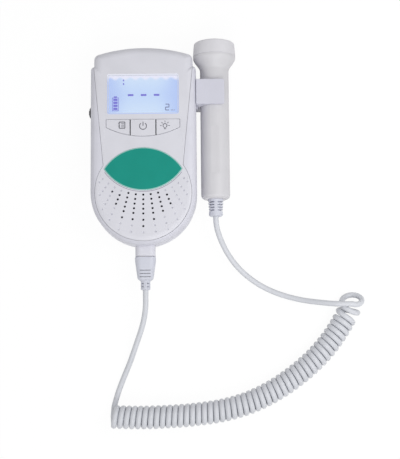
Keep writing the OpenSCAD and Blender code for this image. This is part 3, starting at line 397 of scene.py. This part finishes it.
# %% [markdown]
# ## Finishes on the CAD nodes
#
# The record of the part names a slot for each node. Three pieces look different from their slot in
# the photograph: the strain relief is as lilac as the plug, the seal as pale as the probe's head,
# and the socket as white as the housing.

# %% Give every CAD node its finish
slot_of = {part["node"]: part["material_slot"] for part in frame["record"]["subparts"]}
slot_of.update(probe_boot="plug_lilac", probe_seal="probe_band", probe_socket="body_white")
for name, piece in nodes.items():
    piece.data.materials.clear()
    piece.data.materials.append(materials[slot_of[name]])
print("slots in use:", len(set(slot_of.values())))

# %% [markdown]
# ## Rounded edges
#
# A CAD solid has edges of no width, which never catch the light. A Bevel node in the material could
# fake them, but an exported model would lose that. Each piece that shows its edges is therefore a
# copy of its CAD node: the loose triangles are merged, flat faces become whole again, and a Bevel
# modifier rounds the edges. Weighted normals keep the large faces flat.

# %% Dress a CAD node
SAME_PLACE, SAME_PLANE = 2e-6, math.radians(0.1)
CORNER = math.radians(32)
body_of_node = {node: body for body, members in frame["record"]["behaviour"]["bodies"].items()
                for node in members}


def add_piece(name, mesh, slot, body):
    """A mesh in metres becomes a piece that moves with a body."""
    piece = bpy.data.objects.new(name, mesh)
    bpy.context.scene.collection.objects.link(piece)
    mesh.materials.clear()
    mesh.materials.append(materials[slot])
    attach(piece, body)
    return piece


def dress(node, edge):
    """Copy of a CAD node with merged faces and edges rounded by that radius."""
    shape = bmesh.new()
    shape.from_mesh(nodes[node].data)
    bmesh.ops.remove_doubles(shape, verts=shape.verts, dist=SAME_PLACE)
    bmesh.ops.dissolve_limit(shape, angle_limit=SAME_PLANE, verts=shape.verts, edges=shape.edges)
    mesh = bpy.data.meshes.new("dressed_" + node)
    shape.to_mesh(mesh)
    shape.free()
    mesh.shade_smooth()
    mesh.set_sharp_from_angle(angle=CORNER)
    piece = add_piece("dressed_" + node, mesh, slot_of[node], body_of_node[node])
    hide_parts(node)
    if edge:
        bevel = piece.modifiers.new("rounded edges", "BEVEL")
        bevel.width, bevel.segments = edge, 2
        bevel.limit_method, bevel.angle_limit = "ANGLE", CORNER
    normals = piece.modifiers.new("flat faces", "WEIGHTED_NORMAL")
    normals.keep_sharp = True
    return piece


print("edges are sharp from", round(math.degrees(CORNER)), "degrees")

# %% [markdown]
# ## Pieces that show their edges
#
# One radius could serve for all, but the clip is softer than the housing, and the plate and the
# socket lie between them. So each piece has its own radius in metres. The probe and the plug's body
# are already round in the CAD model, so they are merged and smoothed without a bevel.

# %% Dress the pieces
EDGES = {
    "rear_shell": 0.0001, "front_cover": 0.0001, "key_mode": 0.0001, "key_power": 0.0001,
    "key_light": 0.0001, "battery_door": 0.0001, "name_plate": 0.00025, "probe_clip": 0.0006,
    "clip_rail": 0.0002, "probe_handle": 0, "probe_head": 0, "probe_face": 0,
    "probe_boot": 0.0001, "probe_socket": 0.0003, "plug_body": 0, "plug_boot": 0.0001,
    "volume_wheel": 0.0001,
}
for node, edge in EDGES.items():
    piece = dress(node, edge)
    print(piece.name, len(piece.data.polygons), "faces")

# %% [markdown]
# ## Flat marks
#
# The segments of the display and the printed signs on the keys are flat shapes of a few hundredths
# of a millimetre. They could be a picture, but a shape stays sharp from close by. A straight stroke
# is a cube that is stretched, turned and moved by one matrix. A round stroke is a small upright
# rectangle that is spun about the middle of its arc.

# %% Strokes
MARK_HEIGHT = 0.00004
ABOVE = 0.00001
ARC_STEPS = 24


def bar(shape, start, end, width, z):
    """Straight flat stroke from start to end, which are points in millimetres."""
    a, b = MM * Vector((*start, 0)), MM * Vector((*end, 0))
    turn = Matrix.Rotation(math.atan2(b.y - a.y, b.x - a.x), 4, "Z")
    size = Matrix.Diagonal(((b - a).length, MM * width, MARK_HEIGHT, 1))
    middle = Matrix.Translation(0.5 * (a + b) + Vector((0, 0, z)))
    bmesh.ops.create_cube(shape, size=1, matrix=middle @ turn @ size)


def dash(shape, x, y, half, width, z):
    """Straight flat stroke across, as far to the left as to the right of its middle."""
    bar(shape, (x - half, y), (x + half, y), width, z)


def bow(shape, middle, radius, width, z, start, sweep):
    """Round flat stroke about middle. It starts at an angle in degrees and sweeps on from it."""
    way = Vector((math.cos(math.radians(start)), math.sin(math.radians(start)), 0))
    centre = MM * Vector((*middle, 0)) + Vector((0, 0, z))
    rim = [shape.verts.new(centre + MM * (radius + side * width / 2) * way + Vector((0, 0, up)))
           for side, up in ((-1, 0), (1, 0), (1, MARK_HEIGHT / 2), (-1, MARK_HEIGHT / 2))]
    first = shape.faces.new(rim)
    bmesh.ops.spin(shape, geom=[first, *first.edges, *rim], cent=centre, axis=(0, 0, 1),
                   angle=math.radians(sweep), steps=ARC_STEPS)


def marks(name, slot, body, draw):
    """Piece made of the strokes that draw adds."""
    shape = bmesh.new()
    draw(shape)
    bmesh.ops.recalc_face_normals(shape, faces=shape.faces)
    mesh = bpy.data.meshes.new(name)
    shape.to_mesh(mesh)
    shape.free()
    return add_piece(name, mesh, slot, body)


print("stroke height in mm:", MARK_HEIGHT / MM)

# %% [markdown]
# ## What the display shows
#
# Three dashes stand where a heart rate would be. A battery with four full blocks stands at the
# lower left, a small 2 with three dots at the lower right, and two little blobs at the upper left.
# A font could write the 2, but a display draws it with straight segments, and so do the strokes.
# They lie on the lit panel, under the window. All places are in millimetres.

# %% Segments
segment_z = panel_top + MARK_HEIGHT / 2 + ABOVE
display_y = display.y / MM
DASHES, DASH_HALF, DASH_WIDTH = (-8.4, 0.3, 9.0), 1.9, 1.35
BLOB_X, BLOB_LENGTH, BLOB_WIDTH = -13.1, 1.2, 0.8
CELL_X, CELL_LINE, BLOCKS, BLOCK_PITCH = -18.55, 0.35, 4, 2.07
DIGIT_LINE = 0.58


def draw_reading(shape):
    for x in DASHES:
        dash(shape, x, display_y - 0.25, DASH_HALF, DASH_WIDTH, segment_z)
    for y in (display_y + 6.8, display_y + 9.3):
        bar(shape, (BLOB_X, y), (BLOB_X, y + BLOB_LENGTH), BLOB_WIDTH, segment_z)


def draw_battery(shape):
    low, high = display_y - 10.9, display_y - 2.0
    for x in (CELL_X - 2, CELL_X + 2):
        bar(shape, (x, low), (x, high), CELL_LINE, segment_z)
    for y in (low, high):
        dash(shape, CELL_X, y, 2.15, CELL_LINE, segment_z)
    dash(shape, CELL_X, high + 0.6, 0.95, 0.8, segment_z)
    for block in range(BLOCKS):
        dash(shape, CELL_X, low + 1.35 + BLOCK_PITCH * block, 1.4, 1.6, segment_z)


def draw_two(shape):
    x, y, w, h = 16.1, display_y - 8.65, 1.15, 2
    bends = [(x - w, y + h), (x + w, y + h), (x + w, y), (x - w, y), (x - w, y - h), (x + w, y - h)]
    for a, b in zip(bends, bends[1:]):
        bar(shape, a, b, DIGIT_LINE, segment_z)
    for step in range(3):
        dash(shape, x + 2.65 + step, y - h, 0.25, 0.6, segment_z)


marks("reading", "segment_blue", "housing", draw_reading)
marks("battery_sign", "segment_blue", "housing", draw_battery)
marks("level_sign", "segment_dark", "housing", draw_two)
print("segments at z in mm:", round(segment_z / MM, 2))

# %% [markdown]
# ## Signs on the keys
#
# The left key opens a list, the middle one switches the unit on and the right one lights the
# display. Each sign is a piece of its own that rides on its key, so it goes down with it.

# %% Key signs
sign_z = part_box("key_power")[1].z + ABOVE
SIGN, FINE_SIGN, TICK = 0.55, 0.42, 0.3
list_sign, power_sign, lamp_sign = (-13.95, 12.65), (0, 12), (14.6, 11.8)


def draw_list(shape):
    x, y = list_sign
    for side in (-1, 1):
        bar(shape, (x + side * 1.9, y - 2.1), (x + side * 1.9, y + 2.1), SIGN, sign_z)
        dash(shape, x, y + side * 2.1, 1.9, SIGN, sign_z)
    for row in (-1.1, 0, 1.1):
        dash(shape, x + 0.4, y + row, 0.9, FINE_SIGN, sign_z)
        dash(shape, x - 1.95, y + row, 0.45, TICK, sign_z)


def draw_power(shape):
    x, y = power_sign
    bow(shape, power_sign, 2.3, SIGN, sign_z, 125, 290)
    bar(shape, (x, y + 0.2), (x, y + 2.9), SIGN, sign_z)


def draw_lamp(shape):
    x, y = lamp_sign
    bulb = Vector((x, y + 0.35))
    bow(shape, bulb, 1.3, SIGN, sign_z, -50, 280)
    dash(shape, x, y - 1.15, 0.8, FINE_SIGN, sign_z)
    dash(shape, x, y - 1.85, 0.7, FINE_SIGN, sign_z)
    for angle in (0, 45, 90, 135, 180):
        ray = Vector((math.cos(math.radians(angle)), math.sin(math.radians(angle))))
        bar(shape, bulb + 2.15 * ray, bulb + 3.3 * ray, FINE_SIGN, sign_z)


marks("list_sign", "mark_grey", "key_mode", draw_list)
marks("power_sign", "mark_grey", "key_power", draw_power)
marks("lamp_sign", "mark_grey", "key_light", draw_lamp)
print("signs at z in mm:", round(sign_z / MM, 2))

# %% [markdown]
# ## Line below the plate
#
# A thin dark line follows the lower arc of the plate. A curve with a bevel would be round in
# section, so the line is one flat round stroke about the middle of that arc, just outside the
# plate.

# %% Plate line
LINE_GAP, LINE_WIDTH = 0.7, 0.34
LINE_START, LINE_SWEEP = 216, 108
line_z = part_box("front_cover")[1].z + ABOVE
line_middle = (plate.x / MM, (plate.y + plate_rise) / MM)
line_radius = plate_radius / MM + LINE_GAP + LINE_WIDTH / 2


def draw_line(shape):
    bow(shape, line_middle, line_radius, LINE_WIDTH, line_z, LINE_START, LINE_SWEEP)


marks("plate_line", "line_mauve", "housing", draw_line)
print("line radius in mm:", round(line_radius, 2))

# %% [markdown]
# ## Grip lines of the plug
#
# Three short grooves across the plug give the fingers a hold, and they look dark from above. Their
# shadows alone are too faint, so a dark stroke of painted shade lies along each. The plug gets
# lower towards its lead, and each stroke has its own height.

# %% Grip lines
plug_low, plug_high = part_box("plug_body")
GRIP_HALF, GRIP_WIDTH = 3.6, 0.35
GRIPS = ((9.1, 1.08), (11.3, 1.08), (13.5, 1.17))


def draw_grip(shape):
    x = 0.5 * (plug_low.x + plug_high.x) / MM
    for from_collar, below_top in GRIPS:
        y, z = plug_high.y / MM - from_collar, plug_high.z - MM * below_top
        # Painted shade: a dark stroke in each groove, where its shadow falls.
        dash(shape, x, y, GRIP_HALF, GRIP_WIDTH, z)


marks("grip_groove_shade", "mark_grey", "plug", draw_grip)
print("plug top at z in mm:", round(plug_high.z / MM, 2))

# %% [markdown]
# ## The route of the cord
#
# A cord is one line first. Its listed points are those of the CAD model, in millimetres. Straight
# pieces between them would have corners, and Bezier handles would be more numbers to set, so a
# Catmull-Rom spline will run smoothly through the points themselves.

# %% Points that the cord follows
plug_lead_route = [
    (0.5, -93.4, 14.5), (0.5, -100, 14.5), (0.5, -105.5, 14.4), (0, -111, 13.6),
    (-1.2, -117, 12), (-3, -123, 9.9), (-5.2, -129, 7.9), (-7.4, -135, 6), (-9.6, -141, 4.4),
    (-12, -147, 3.1), (-14.4, -152.6, 2.3), (-16.6, -158, 1.9), (-18.6, -163.4, 1.9),
    (-20.2, -168.6, 1.9), (-21.4, -173, 1.9),
]
coil_route = [
    (-22, -179.6), (-4, -180.2), (14, -179.8), (32, -178.6), (50, -176.2), (65, -172.4),
    (78, -167.2), (90, -160.6), (101.6, -152.6), (111.4, -144.4), (119.8, -135.8),
    (127, -126.6), (132.8, -117.6), (137.2, -109), (139.4, -101),
]
probe_lead_route = [
    (48, -47, 15.5), (48, -50, 15.5), (48.7, -55, 14.7), (50.4, -60.5, 12.9),
    (52.8, -66, 10.9), (55.8, -71.5, 8.8), (59.6, -77, 6.7), (64.2, -82.2, 4.8),
    (69.6, -87, 3.3), (75.4, -91.2, 2.3), (81.6, -94.8, 1.9), (88, -97.7, 1.9),
    (94.6, -100.1, 2.6), (101, -102, 4), (107, -103.4, 5.9), (112.6, -104.4, 8.3),
    (118, -105.2, 10.9), (123.2, -105.9, 13.1), (128, -106.3, 14.7),
]
print("points set by hand:", len(plug_lead_route) + len(coil_route) + len(probe_lead_route))

# %% [markdown]
# ## Smooth lines
#
# Blender's curves have no Catmull-Rom type, so the spline is worked out here: between two points it
# is a cubic that also depends on the point before and the point after. A second helper finds the
# place at a length along such a line, because the curls have to be evenly spaced.

# %% A smooth line and places on it


def spline(route, steps):
    """Points of a smooth line through the route."""
    points = [Vector(p) for p in route]
    ends = [points[0], *points, points[-1]]
    line = []
    for a, b, c, d in zip(ends, ends[1:], ends[2:], ends[3:]):
        for i in range(steps):
            u = i / steps
            line.append(0.5 * (2 * b + (c - a) * u + (2 * a - 5 * b + 4 * c - d) * u**2
                               + (3 * b - a - 3 * c + d) * u**3))
    return line + [points[-1]]


def at_length(line, s):
    """Point at distance s along a line."""
    for a, b in zip(line, line[1:]):
        step = (b - a).length
        if s <= step:
            return a.lerp(b, s / step)
        s -= step
    return line[-1].copy()


def length_of(line):
    return sum((b - a).length for a, b in zip(line, line[1:]))


print("lead to the plug in mm:", round(length_of(spline(plug_lead_route, 3))))

# %% [markdown]
# ## The curls
#
# Between the two leads the line winds round the axis of the curly stretch, over the top towards +Y
# and back underneath. Blender's Screw modifier winds too, but only about a straight axis. So each
# point of a curl is worked out from its turn. The last curls open out, lean up and rise from the
# table, because the lead to the probe pulls on them.

# %% The shape of a curl
FLOOR_Z = 1.9
CURL_RADIUS, CURLS, STEPS_PER_CURL = 5.95, 47.5, 20
OPEN_CURLS, OPEN_PITCH, LEAN = 2, 5, math.radians(60)
END_LIFT, END_GROWTH = 7, 0.1
WAY_REACH = 2
AXIS_STEPS = 10

axis_line = spline(coil_route, AXIS_STEPS)
coil_length = length_of(axis_line)
even_length = coil_length - OPEN_CURLS * OPEN_PITCH - CURL_RADIUS * math.sin(LEAN)
even_pitch = even_length / (CURLS - OPEN_CURLS)


def curl_frame(turn):
    """Middle, direction and opening, from 0 to 1, of the curl at that turn."""
    left_over = CURLS - turn
    opening = max(0, 1 - left_over / OPEN_CURLS)
    s = even_pitch * turn
    if opening:
        back = CURL_RADIUS * (math.sin(LEAN) - math.sin(LEAN * opening))
        s = coil_length - OPEN_PITCH * left_over - back
    way = (at_length(axis_line, min(s + WAY_REACH, coil_length))
           - at_length(axis_line, max(s - WAY_REACH, 0)))
    return at_length(axis_line, s), way.normalized(), opening


def curl_point(turn):
    """Point of the cord's line at that turn."""
    middle, way, opening = curl_frame(turn)
    lean = LEAN * opening
    left = Vector((-way.y, way.x, 0))
    up = Vector((-math.sin(lean) * way.x, -math.sin(lean) * way.y, math.cos(lean)))
    angle = -math.pi / 2 - 2 * math.pi * turn
    height = FLOOR_Z + CURL_RADIUS * math.cos(lean) + END_LIFT * opening**3
    radius = CURL_RADIUS * (1 + END_GROWTH * opening)
    return (Vector((middle.x, middle.y, height))
            + radius * (math.cos(angle) * left + math.sin(angle) * up))


print("pitch of the even curls in mm:", round(even_pitch, 2))

# %% [markdown]
# ## One line for the whole cord
#
# The two leads and the curls could be three tubes, but their ends would have to be hidden in each
# other. Joined end to end they are one line from the probe to the plug. Each lead has a short
# straight piece before the curls, so that the cord doesn't bend sharply where it starts to wind.

# %% Wind the curls and join the leads
START_WAY, END_WAY = Vector((0.08, 0.997, 0)), Vector((-1, 0, 0))
END_LENGTH, LAST_LENGTH, LEAD_STEPS = 3.4, 2.6, 3
curl_steps = int(CURLS * STEPS_PER_CURL)
curl_line = [curl_point(CURLS * i / curl_steps) for i in range(curl_steps + 1)]
coil_start = curl_line[0] + END_LENGTH * START_WAY
coil_end = curl_line[-1] + END_LENGTH * END_WAY
probe_lead = spline(probe_lead_route + [coil_end + LAST_LENGTH * END_WAY, coil_end], LEAD_STEPS)
plug_lead = spline(plug_lead_route + [coil_start], LEAD_STEPS)
cord_line = [MM * p for p in probe_lead + curl_line[::-1] + plug_lead[::-1]]
cord_length = length_of(cord_line)
print("cord in m:", round(cord_length, 3), "curls:", CURLS, "points:", len(cord_line))

# %% [markdown]
# ## The cord itself
#
# A curve with a round bevel turns the line into a tube, which is simpler than a swept mesh of its
# own. The tube becomes a mesh afterwards.

# %% Sweep the cord
CORD = 0.0037
CORD_RESOLUTION = 5


def swept(name, line, radius, resolution):
    """Mesh tube along a line."""
    curve = bpy.data.curves.new(name, "CURVE")
    curve.dimensions = "3D"
    curve.bevel_depth = radius
    curve.bevel_resolution = resolution
    curve.use_fill_caps = True
    path = curve.splines.new("POLY")
    path.points.add(len(line) - 1)
    for point, p in zip(path.points, line):
        point.co = (*p, 1)
    guide = bpy.data.objects.new(name + "_guide", curve)
    mesh = bpy.data.meshes.new_from_object(guide)
    bpy.data.objects.remove(guide)
    piece = bpy.data.objects.new(name, mesh)
    bpy.context.scene.collection.objects.link(piece)
    mesh.shade_smooth()
    return piece


cord = swept("cord", cord_line, CORD / 2, CORD_RESOLUTION)
cord.data.materials.append(materials["cord"])
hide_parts("probe_lead", "curly_cord", "plug_lead")
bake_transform(cord)
print("cord faces:", len(cord.data.polygons))

# %% [markdown]
# ## Floor
#
# The floor is white for the camera and in reflections only. A lit floor would be grey at its far
# end, and more light would wash out the object. So most of what the camera sees of it is a plain
# glow, and the rest takes light and keeps the object's shadow. From below, the floor lets the view
# through to the back of the housing.

# %% White stage material
WHITE = 1.04
GLOW_SHARE = 0.9


def seen_plainly(tree):
    """1 where the camera, a reflection or clear plastic looks, 0 for the light itself."""
    path = tree.node("LightPath")
    return tree.maths("MAXIMUM", path, tree.maths(
        "MAXIMUM", path.output("Is Glossy Ray"), path.output("Is Transmission Ray")))


def stage_material(name):
    """White from above, with a trace of the object's shadow, and nothing from below."""
    tree = new_tree(name)
    from_above = tree.node("MixShader", sockets={
        0: GLOW_SHARE * seen_plainly(tree),
        1: tree.node("BsdfDiffuse", sockets={"Color": (0.75, 0.75, 0.75, 1)}),
        2: tree.node("Emission", sockets={"Strength": WHITE}),
    })
    surface(tree, tree.node("MixShader", sockets={
        0: tree.node("NewGeometry").output("Backfacing"),
        1: from_above,
        2: tree.node("BsdfTransparent"),
    }))
    return materials[name]


print("share of the floor that glows:", GLOW_SHARE)

# %% [markdown]
# ## A plane to lie on
#
# A curved backdrop would hide the horizon, but the camera looks down and sees none. A large plane
# is enough. It lies a little below the object's back, because two faces in one plane would flicker
# through each other.

# %% Floor plane
FLOOR_SIZE, FLOOR_DROP = 4, 0.00005
shape = bmesh.new()
bmesh.ops.create_grid(shape, x_segments=1, y_segments=1, size=FLOOR_SIZE,
                      matrix=Matrix.Translation((0, 0, -FLOOR_DROP)))
floor_mesh = bpy.data.meshes.new("floor")
shape.to_mesh(floor_mesh)
shape.free()
floor = bpy.data.objects.new("floor", floor_mesh)
bpy.context.scene.collection.objects.link(floor)
floor.data.materials.append(stage_material("floor_white"))
print("floor in m:", [round(v, 2) for v in floor_mesh.vertices[-1].co - floor_mesh.vertices[0].co])

# %% [markdown]
# ## Sky and lamps
#
# The object is lit by a plain grey sky, a lamp on its right and a broad one beyond its lower end,
# because in the photograph everything is darker on its upper left side. A picture of a studio could
# light it, but a sky and two lamps are easier to balance: together they are about as bright as a
# colour needs to render as it is written. The sky is white where it is looked at.

# %% Light
SKY_LIGHT = 0.54
world = bpy.data.worlds.new("sky")
world.use_nodes = True
tree = Wire(world.node_tree)
background = world.node_tree.nodes["Background"]
background.inputs["Color"].default_value = (1, 1, 1, 1)
brightness = SKY_LIGHT + (WHITE - SKY_LIGHT) * seen_plainly(tree)
world.node_tree.links.new(brightness.socket, background.inputs["Strength"])
bpy.context.scene.world = world


def lamp(name, place, size, power):
    """Square lamp that is aimed at the camera's target."""
    data = bpy.data.lights.new(name, "AREA")
    data.size = size
    data.energy = power
    item = bpy.data.objects.new(name, data)
    bpy.context.scene.collection.objects.link(item)
    item.location = place
    item.rotation_mode = "QUATERNION"
    item.rotation_quaternion = (target - Vector(place)).to_track_quat("-Z", "Y")


lamp("window_light", place=(0.26, -0.06, 0.36), size=0.24, power=0.52)
lamp("broad_light", place=(0.1, -0.8, 0.9), size=0.6, power=3.6)
bpy.context.scene.view_settings.view_transform = "Standard"
